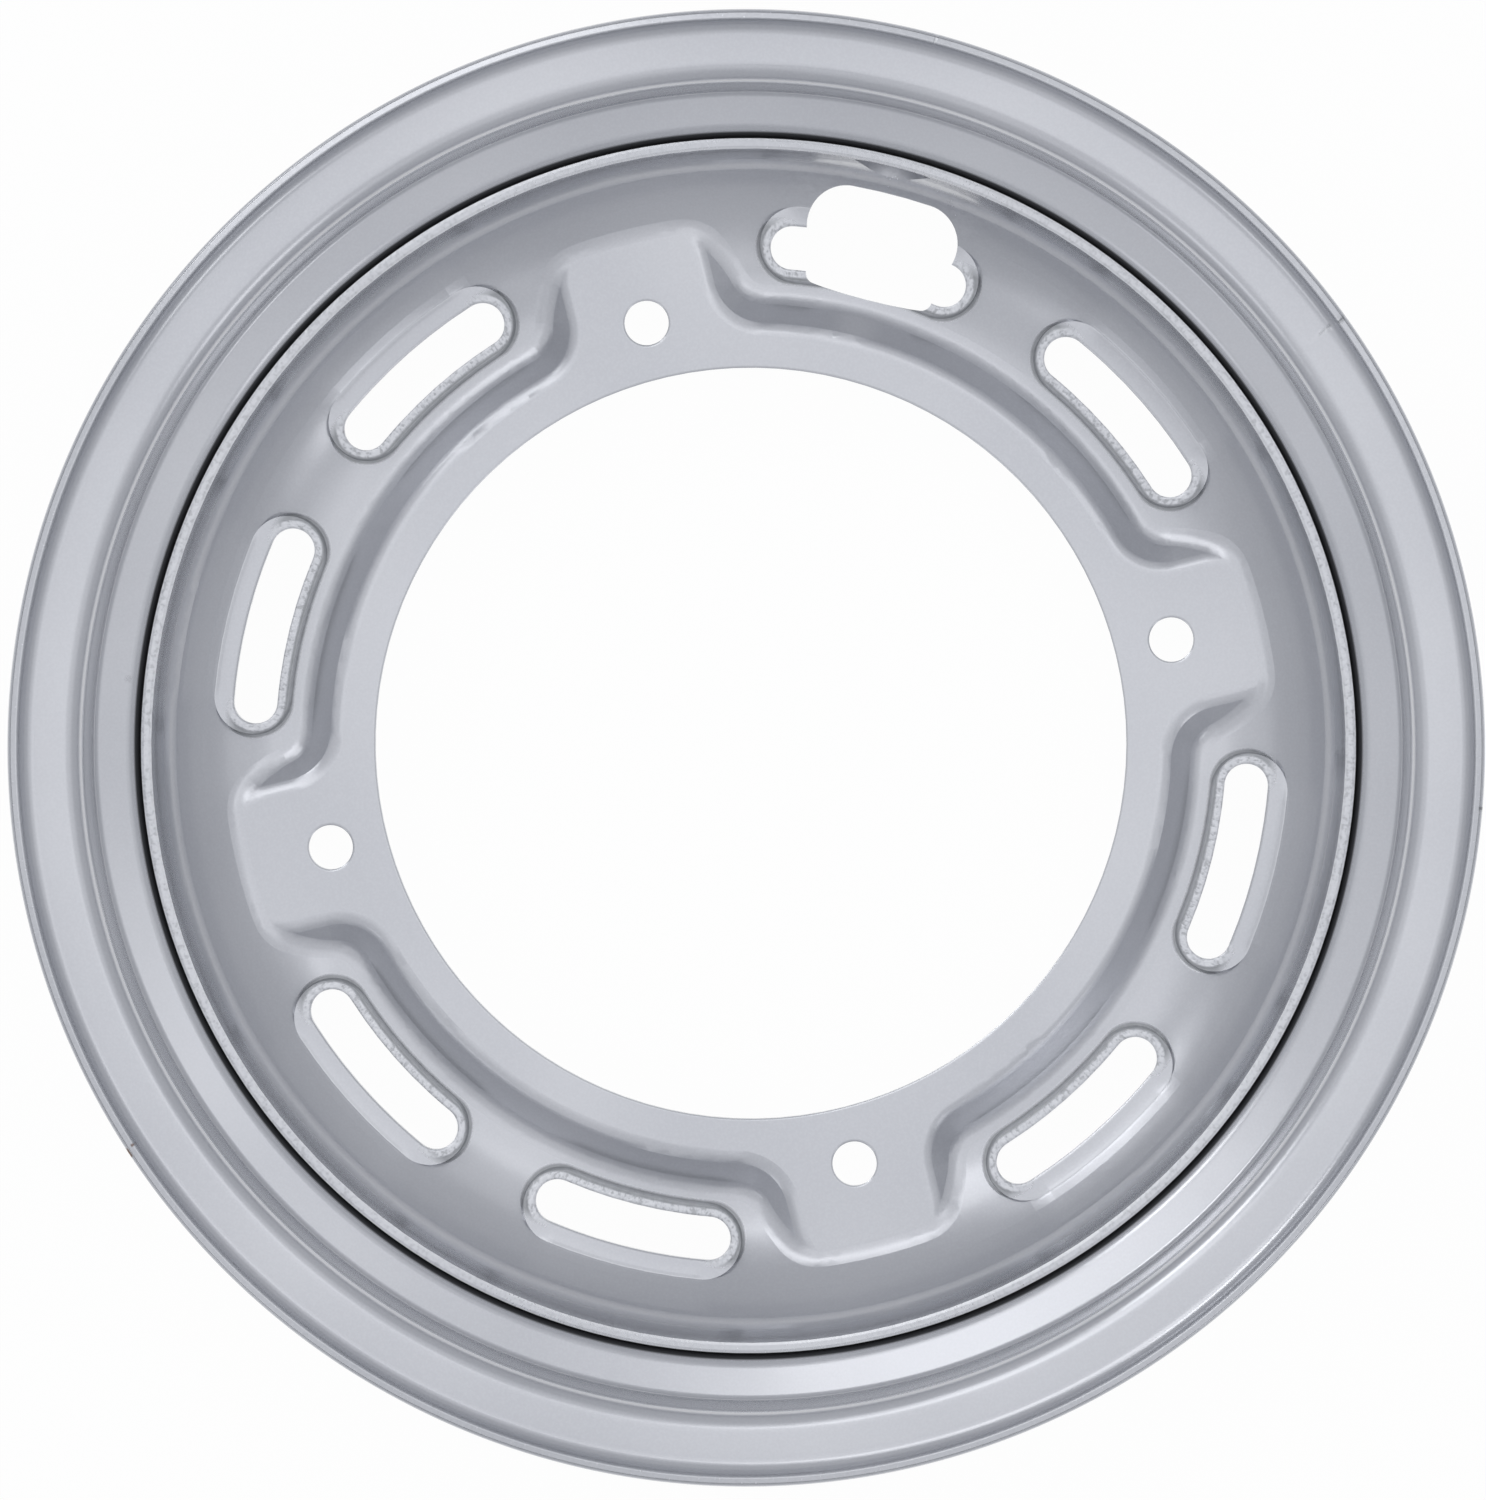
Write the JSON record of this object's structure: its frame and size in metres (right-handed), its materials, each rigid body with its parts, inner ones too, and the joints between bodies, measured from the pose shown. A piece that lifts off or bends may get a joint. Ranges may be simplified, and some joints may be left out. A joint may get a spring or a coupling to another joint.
{
  "type": "pressed-steel scooter wheel",
  "caption": "Silver-painted pressed-steel scooter wheel: a drop-centre rim with a dished, slotted disc welded in it, with a large hub bore and bolt lobes.",
  "frame": {"origin": "on the wheel's axis, halfway between the rim's two lips", "axes": "+Z along the wheel's axis towards its outer, dished face; +X and +Y in the wheel's plane, with the valve hole 76 degrees from +X towards +Y"},
  "size_m": [0.2764, 0.2764, 0.073],
  "materials": {
    "silver_paint": "satin"
  },
  "bodies": {
    "root": {"rim": "silver_paint", "disc": "silver_paint", "weld_beads": "silver_paint"}
  },
  "joints": []
}
